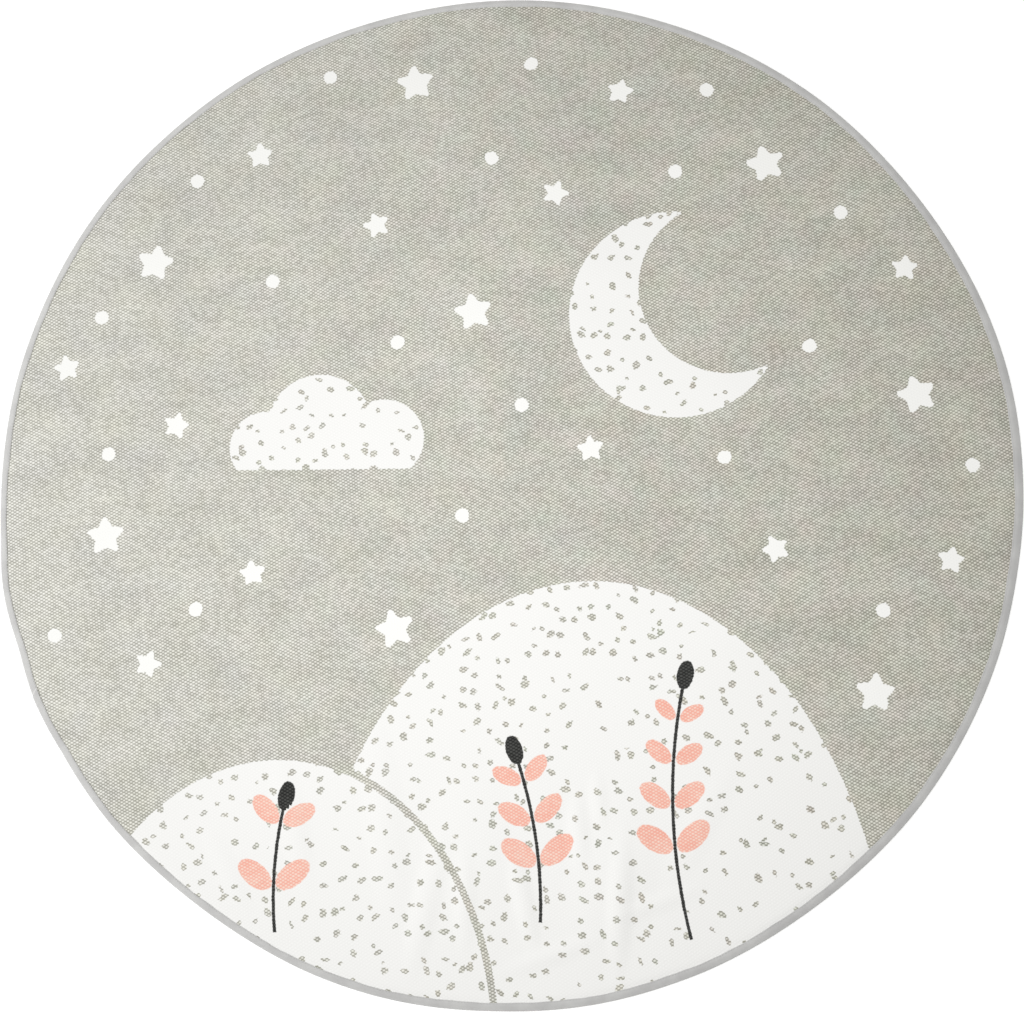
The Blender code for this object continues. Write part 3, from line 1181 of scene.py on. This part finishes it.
# %% Carry the cut round the rim
TAPE_STATIONS = 960
MAP_ROWS = 12
ROW_MARGIN = 0.04
END_MARGIN = 0.002
ROW_ROUNDING = 1e-5
STEP_ROOM = 0.0004
LAP_BEARING = math.radians(204.1)
LAP_LENGTH = 0.011
LAP_HEIGHT = 0.00038
LAP_SLANT = 0.75
LAP_EDGE = 0.0007
LAP_FALL = 0.004
LAP_OUTWARD = 0.6
LAP_STATIONS = 80
LAP_SPAN = 1.6
TAPE_SHARP_ANGLE = 60.0
PUCKERS = (
    # waves round the rug, phase in turns, height
    (173, 0.10, 0.00007),
    (241, 0.55, 0.00006),
    (97, 0.80, 0.00006),
    (331, 0.35, 0.00003),
)
EDGE_WAVES = (
    # waves round the rug, phase in turns, width
    (61, 0.30, 0.00016),
    (137, 0.75, 0.00012),
    (29, 0.05, 0.00018),
)


def waves_round(bearing, table):
    """Sum of sines with whole numbers of waves round the rug."""
    return sum(size * np.sin(waves * bearing + TAU * phase) for waves, phase, size in table)


def smooth_step(value):
    """3 v squared less 2 v cubed between 0 and 1, and flat outside."""
    inside = np.clip(value, 0.0, 1.0)
    return inside * inside * (3.0 - 2.0 * inside)


def tape_bearings():
    """Even bearings round the rug, with a denser run of them at the lap."""
    even = TAU * np.arange(TAPE_STATIONS) / TAPE_STATIONS
    reach = LAP_SPAN * LAP_LENGTH / RUG_RADIUS
    dense = np.linspace(LAP_BEARING - reach, LAP_BEARING + reach, LAP_STATIONS)
    return np.unique(np.round(np.concatenate([even, dense]), 7))


def lap_step(bearing, inset):
    """Height of the lapped end: a quick step up along a slant, then a slow way down."""
    past = (bearing - LAP_BEARING) * RUG_RADIUS + LAP_SLANT * (inset - TAPE_WIDTH / 2)
    return smooth_step(past / LAP_EDGE) * (1.0 - smooth_step((past - LAP_LENGTH) / LAP_FALL))


def make_tape():
    """Closed ring: the cut's rows by the rim's stations, each point at its own inset and height."""
    bearing = tape_bearings()[:, None]
    fixed, share, level, pucker = cut.T[:, None, :]
    width = tape_width(bearing) + waves_round(bearing, EDGE_WAVES)
    inset = fixed + share * (width - TAPE_FOLD_DEPTH)
    lap = lap_step(bearing, inset)
    upper = smooth_step((level - TAPE_THICKNESS) / (RIM_HEIGHT - TAPE_THICKNESS))
    height = level + pucker * waves_round(bearing, PUCKERS) + LAP_HEIGHT * lap * upper
    outward = LAP_OUTWARD * LAP_HEIGHT * lap * (share == 0.0)
    radius = rim_radius(bearing) - inset + outward
    grid = lay_on_floor(radius, np.broadcast_to(bearing, radius.shape), height)

    stations, around = radius.shape
    row = np.arange(stations)[:, None] * around
    column = np.arange(around)[None, :]
    next_row, next_column = (row + around) % (stations * around), (column + 1) % around
    quads = np.stack(
        [row + column, row + next_column, next_row + next_column, next_row + column], axis=-1
    ).reshape(-1, 4)
    tape = new_piece("edge_tape", grid, quads.tolist())
    store_tape_map(tape.data, bearing[:, 0], inset)
    shade_smooth(tape.data, TAPE_SHARP_ANGLE)
    return tape


def girth_shares():
    """Share of the way round the tape's cut at each of its points. The flat part's width isn't in
    the cut's insets, so each step is given a little room as well."""
    closed = np.vstack([cut, cut[:1]])
    across, _, up, _ = np.diff(closed, axis=0).T
    girth = np.append(0.0, np.cumsum(np.hypot(across, up) + STEP_ROOM))
    return girth / girth[-1]


def sides(values):
    """Each value of a row and the next one, in the order first, first, next, next."""
    return np.stack([values[:-1], values[:-1], values[1:], values[1:]], axis=-1)


def store_tape_map(mesh, bearing, inset):
    """Flat map of the tape in rows, an arc of the rug in each, and its run and inset in metres."""
    stations, around = inset.shape
    ends = np.append(bearing, TAU)
    girth = girth_shares()
    map_row = np.floor(bearing / TAU * MAP_ROWS + ROW_ROUNDING)
    u = sides(ends / TAU * MAP_ROWS)[:, None, :] - map_row[:, None, None]
    v = np.stack([girth[:-1], girth[1:], girth[1:], girth[:-1]], axis=-1)[None, :, :]
    v = (map_row[:, None, None] + ROW_MARGIN + (1.0 - 2 * ROW_MARGIN) * v) / MAP_ROWS
    u = END_MARGIN + (1.0 - 2 * END_MARGIN) * u
    store_map(mesh, np.stack(np.broadcast_arrays(u, v), axis=-1))

    run = np.broadcast_to(sides(ends)[:, None, :] * RUG_RADIUS, (stations, around, 4))
    closed = np.vstack([inset, inset[:1]])
    turned = np.roll(closed, -1, axis=1)
    insets = np.stack([closed[:-1], turned[:-1], turned[1:], closed[1:]], axis=-1)
    store_corners(mesh, "tape_run", np.stack([run, insets, np.zeros_like(insets)], axis=-1))


tape = make_tape()
print("tape:", len(tape.data.polygons), "faces round", f"{TAU * RUG_RADIUS:.2f} m of rim")

# %% [markdown]
# One row of lockstitch goes through tape and cloth. From each side it shows as a line of short
# threads that dip into the tape at both ends. One thread is a thin tube on a grid: its radius
# shrinks to nothing at its ends along half an ellipse, and its middle line is a low arch. All the
# stitches are worked out at once, as one array of stitch by ring by point.

# %% Row of stitches, on the face and on the back
STITCH_PITCH = 0.0030
STITCH_REACH = 0.43
THREAD_RADIUS = 0.00017
STITCH_ARCH = 0.00016
STITCH_SINK = 0.00006
GROOVE_HEIGHT = RIM_HEIGHT - 0.00010
BACK_ROW_HEIGHT = 0.00008
STITCH_RINGS = 7
THREAD_POINTS = 6
TILE_MARGIN = 0.1
TUBE_END_MERGE = 0.000002


def stitch_row(bearing, middle_height, upwards):
    """Tubes centred on the bearings. A ring lies at the cosine of its angle times the half length,
    and its radius is the sine of that angle times the thread's."""
    angle = np.linspace(0.0, TAU / 2, STITCH_RINGS)[None, :, None]
    round_thread = (TAU * np.arange(THREAD_POINTS) / THREAD_POINTS)[None, None, :]
    run = -np.cos(angle) * STITCH_REACH * STITCH_PITCH
    reach = THREAD_RADIUS * np.sin(angle)
    arch = STITCH_ARCH * np.square(np.sin(angle)) - STITCH_SINK
    place = bearing[:, None, None] + run / RUG_RADIUS
    flat_width = tape_width(place) + waves_round(place, EDGE_WAVES) - TAPE_FOLD_DEPTH
    inset = TAPE_FOLD_DEPTH + STITCH_SHARE * flat_width + reach * np.cos(round_thread)
    surface = middle_height + (waves_round(place, PUCKERS) if upwards > 0.0 else 0.0)
    height = surface + upwards * arch + reach * np.sin(round_thread)
    place = np.broadcast_to(place, inset.shape)
    return lay_on_floor(rim_radius(place) - inset, place, height)


def tube_faces(tubes, rings, around):
    """Quads of tubes that all have the same grid, numbered one tube after another."""
    ring = np.arange(rings - 1)[:, None] * around
    point = np.arange(around)[None, :]
    after = (point + 1) % around
    beside = ring + around
    quads = np.stack([ring + point, ring + after, beside + after, beside + point], axis=-1)
    start = np.arange(tubes)[:, None, None] * rings * around
    return (quads.reshape(1, -1, 4) + start).reshape(-1, 4)


def tube_map(tubes, rings, around):
    """Each tube's own square tile on the flat map, its rings along u and its girth along v."""
    ring, point = np.meshgrid(np.arange(rings - 1), np.arange(around), indexing="ij")
    u = np.stack([ring, ring, ring + 1, ring + 1], axis=-1) / (rings - 1)
    v = np.stack([point, point + 1, point + 1, point], axis=-1) / around
    local = TILE_MARGIN + (1.0 - 2 * TILE_MARGIN) * np.stack([u, v], axis=-1).reshape(1, -1, 2)
    side = math.ceil(math.sqrt(tubes))
    tile = np.stack([np.arange(tubes) % side, np.arange(tubes) // side], axis=-1)
    return (tile[:, None, :] + local) / side


def make_stitches():
    """Face row and back row in one mesh, without a stitch where the lap's step would cut it."""
    count = round(TAU * RUG_RADIUS / STITCH_PITCH)
    bearing = TAU * (np.arange(count) + 0.5) / count
    on_step = np.abs(bearing - LAP_BEARING) * RUG_RADIUS < STITCH_PITCH
    face_row = stitch_row(bearing[~on_step], GROOVE_HEIGHT, 1.0)
    back_row = stitch_row(bearing, BACK_ROW_HEIGHT, -1.0)
    tubes = np.concatenate([face_row, back_row])
    grid = (len(tubes), STITCH_RINGS, THREAD_POINTS)
    stitches = new_piece("edge_stitches", tubes, tube_faces(*grid).tolist())
    store_map(stitches.data, tube_map(*grid))
    build = bmesh.new()
    build.from_mesh(stitches.data)
    bmesh.ops.remove_doubles(build, verts=build.verts, dist=TUBE_END_MERGE)
    bmesh.ops.recalc_face_normals(build, faces=build.faces)
    build.to_mesh(stitches.data)
    build.free()
    stitches.data.shade_smooth()
    return stitches, len(tubes)


stitches, stitch_count = make_stitches()
print(f"stitches: {stitch_count} of {STITCH_PITCH * 1000:.1f} mm")
print("faces of the stitches:", len(stitches.data.polygons))

# %% [markdown]
# The tape is smooth neutral grey cotton, which looks faintly violet beside the warm ground. Its
# weave is so fine that it only softens the light. Its tone drifts along the run. Its colour is
# painted a little darker at the lower right than at the upper left, a painted light fall-off, and
# painted lighter in patches along the fold, a painted highlight. At the lap the cut end shows a
# pale line of frayed thread.

# %% Material of the tape
TAPE_COLOUR = (0.640, 0.639, 0.634)
TAPE_DEEP = (0.562, 0.558, 0.558)
# Paler tape colour for the yarns' fine pattern and for the painted highlight along the fold
TAPE_YARN_PALE_AND_FOLD_HIGHLIGHT = (0.712, 0.709, 0.706)
FRAY_COLOUR = (0.860, 0.850, 0.845)
# Painted light fall-off: change of the tape's brightness per metre along X and along Y
PAINTED_LIGHT_SLOPE = (-0.15, 0.10)
TAPE_YARN = 0.00062
TAPE_YARN_DEPTH = 0.00006
TAPE_TONES = (42.0, 4.0, 0.6)
TAPE_TONE_SOFTNESS = 0.22
# Noise patches, inset, softness and strength of the painted highlight along the fold
FOLD_HIGHLIGHT_PATCHES = (90.0, 2.0)
FOLD_HIGHLIGHT_INSET = 0.0011
FOLD_HIGHLIGHT_SOFTNESS = 0.0007
FOLD_HIGHLIGHT_STRENGTH = 0.8
YARN_STRENGTH = 0.25
FRAY_PLACE = 0.0003
FRAY_HALF_WIDTH = 0.0004
FRAY_SOFTNESS = 0.0002
FRAY_STRENGTH = 0.85


def tape_cloth():
    """Fine weave along and across the run, slow tones, a painted highlight along the fold, a painted
    light fall-off, and the frayed end of the lap.
    """
    material, tree, shader = new_material("tape cotton", roughness=0.80, sheen=0.10)
    place = place_on_rug(tree)
    run, inset, _ = corner_numbers(tree, "tape_run")
    waves = TAU / TAPE_YARN
    yarns = (run * waves).cosine() * (inset * waves).cosine() * 0.5 + 0.5
    tone = step_down(0.5 - noise(tree, place, *TAPE_TONES), TAPE_TONE_SOFTNESS)
    colour = blend_colour(tree, tone, TAPE_DEEP, TAPE_COLOUR)
    # Painted highlight: the tape is lighter in patches within about a millimetre of its fold
    fold_highlight = step_down(inset - FOLD_HIGHLIGHT_INSET, FOLD_HIGHLIGHT_SOFTNESS) * noise(tree, place, *FOLD_HIGHLIGHT_PATCHES)
    colour = blend_colour(tree, fold_highlight * FOLD_HIGHLIGHT_STRENGTH, colour, TAPE_YARN_PALE_AND_FOLD_HIGHLIGHT)
    colour = blend_colour(tree, yarns * YARN_STRENGTH, colour, TAPE_YARN_PALE_AND_FOLD_HIGHLIGHT)
    x, y, _ = parts_of(tree, place)
    # Painted light fall-off: the tape's colour is scaled lighter towards -X and +Y and darker towards +X
    # and -Y
    painted_light = x * PAINTED_LIGHT_SLOPE[0] + y * PAINTED_LIGHT_SLOPE[1] + 1.0
    colour = multiplied(tree, colour, combined(tree, painted_light, painted_light, painted_light))
    past = run - LAP_BEARING * RUG_RADIUS + (inset - TAPE_WIDTH / 2) * LAP_SLANT
    fray = step_down((past - FRAY_PLACE).magnitude() - FRAY_HALF_WIDTH, FRAY_SOFTNESS)
    colour = blend_colour(tree, fray * FRAY_STRENGTH, colour, FRAY_COLOUR)
    link_looks(tree, shader, colour, yarns, TAPE_YARN_DEPTH)
    return material


tape.data.materials.append(tape_cloth())

# %% [markdown]
# The sewing thread is a shade deeper than the tape. Its two plies are twisted, which shows as fine
# slanting bands across each stitch, with painted shade in the grooves between the plies.

# %% Material of the sewing thread
THREAD_COLOUR = (0.610, 0.606, 0.604)
# Painted shade in the grooves between the thread's plies
THREAD_GROOVE_SHADE = (0.480, 0.476, 0.476)
PLY_TURNS = TAU / 0.0007


def sewing_thread():
    """Slanting bands: the sine of the two floor coordinates' sum, one wave for each turn of the
    plies, with painted shade in the grooves between them."""
    material, tree, shader = new_material("sewing thread", roughness=0.60, sheen=0.10)
    x, y, _ = parts_of(tree, place_on_rug(tree))
    bands = ((x + y) * PLY_TURNS).sine() * 0.5 + 0.5
    colour = blend_colour(tree, bands, THREAD_GROOVE_SHADE, THREAD_COLOUR)
    link_looks(tree, shader, colour, bands, TAPE_YARN_DEPTH)
    return material


stitches.data.materials.append(sewing_thread())

# %% [markdown]
# ## Putting the pieces on the rug's body
# All three pieces ride on the rug's one body. The cloth and the tape stand for its two solids, whose
# plain shapes are hidden, and the tape and the stitches are fixed to it.

for piece, node, slot in (
    (cloth, "rug_cloth", "printed_cotton"),
    (tape, "edge_binding", "cotton_tape"),
):
    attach(piece, "root")
    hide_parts(node)
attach(stitches, "root")

# %% [markdown]
# ## Floor and light
# The photo is a high-key studio picture: the floor is all but pure white, and the light is soft. An
# even white sky fills the shadows. A broad panel overhead makes the middle a little brighter than
# the rim, and a second one, low at the far left, rakes across the rug and shows its relief.

# %% Floor and light
FLOOR_SIZE = 6.0
FLOOR_DROP = 0.0002
FLOOR_COLOUR = (0.90, 0.90, 0.90, 1.0)
FLOOR_GLOW = 0.40
SKY_LIGHT = 0.346
SKY_COLOUR = (1.0, 0.995, 0.955)
PANELS = (
    # name, place, size, watts
    ("overhead panel", (0.05, -0.05, 1.0), 0.8, 5.3),
    ("left panel", (-2.4, -0.3, 1.7), 1.0, 36.0),
)


def make_floor():
    """Large square just under the rug, pale and lit a little from within to read as white."""
    x, y = np.array([(-1.0, -1.0), (1.0, -1.0), (1.0, 1.0), (-1.0, 1.0)]).T * FLOOR_SIZE / 2
    corners = np.stack([x, y, np.full_like(x, -FLOOR_DROP)], axis=-1)
    floor = new_piece("studio_floor", corners, [(0, 1, 2, 3)])
    material = bpy.data.materials.new("studio floor")
    material.use_nodes = True
    shader = material.node_tree.nodes["Principled BSDF"]
    shader.inputs["Base Color"].default_value = FLOOR_COLOUR
    shader.inputs["Roughness"].default_value = 0.9
    shader.inputs["Emission Color"].default_value = (1.0, 1.0, 1.0, 1.0)
    shader.inputs["Emission Strength"].default_value = FLOOR_GLOW
    floor.data.materials.append(material)


def make_light():
    """Even white sky, and square panels aimed at the rug's middle."""
    world = bpy.data.worlds.new("studio sky")
    world.use_nodes = True
    sky = world.node_tree.nodes["Background"]
    sky.inputs["Color"].default_value = (*SKY_COLOUR, 1.0)
    sky.inputs["Strength"].default_value = SKY_LIGHT
    bpy.context.scene.world = world
    for name, place, size, watts in PANELS:
        data = bpy.data.lights.new(name, "AREA")
        data.size = size
        data.energy = watts
        panel = bpy.data.objects.new(name, data)
        aim = Vector(place).to_track_quat("Z", "Y").to_matrix().to_4x4()
        panel.matrix_world = Matrix.Translation(place) @ aim
        panel.visible_camera = False
        bpy.context.scene.collection.objects.link(panel)


make_floor()
make_light()
bpy.context.scene.view_settings.view_transform = "Standard"
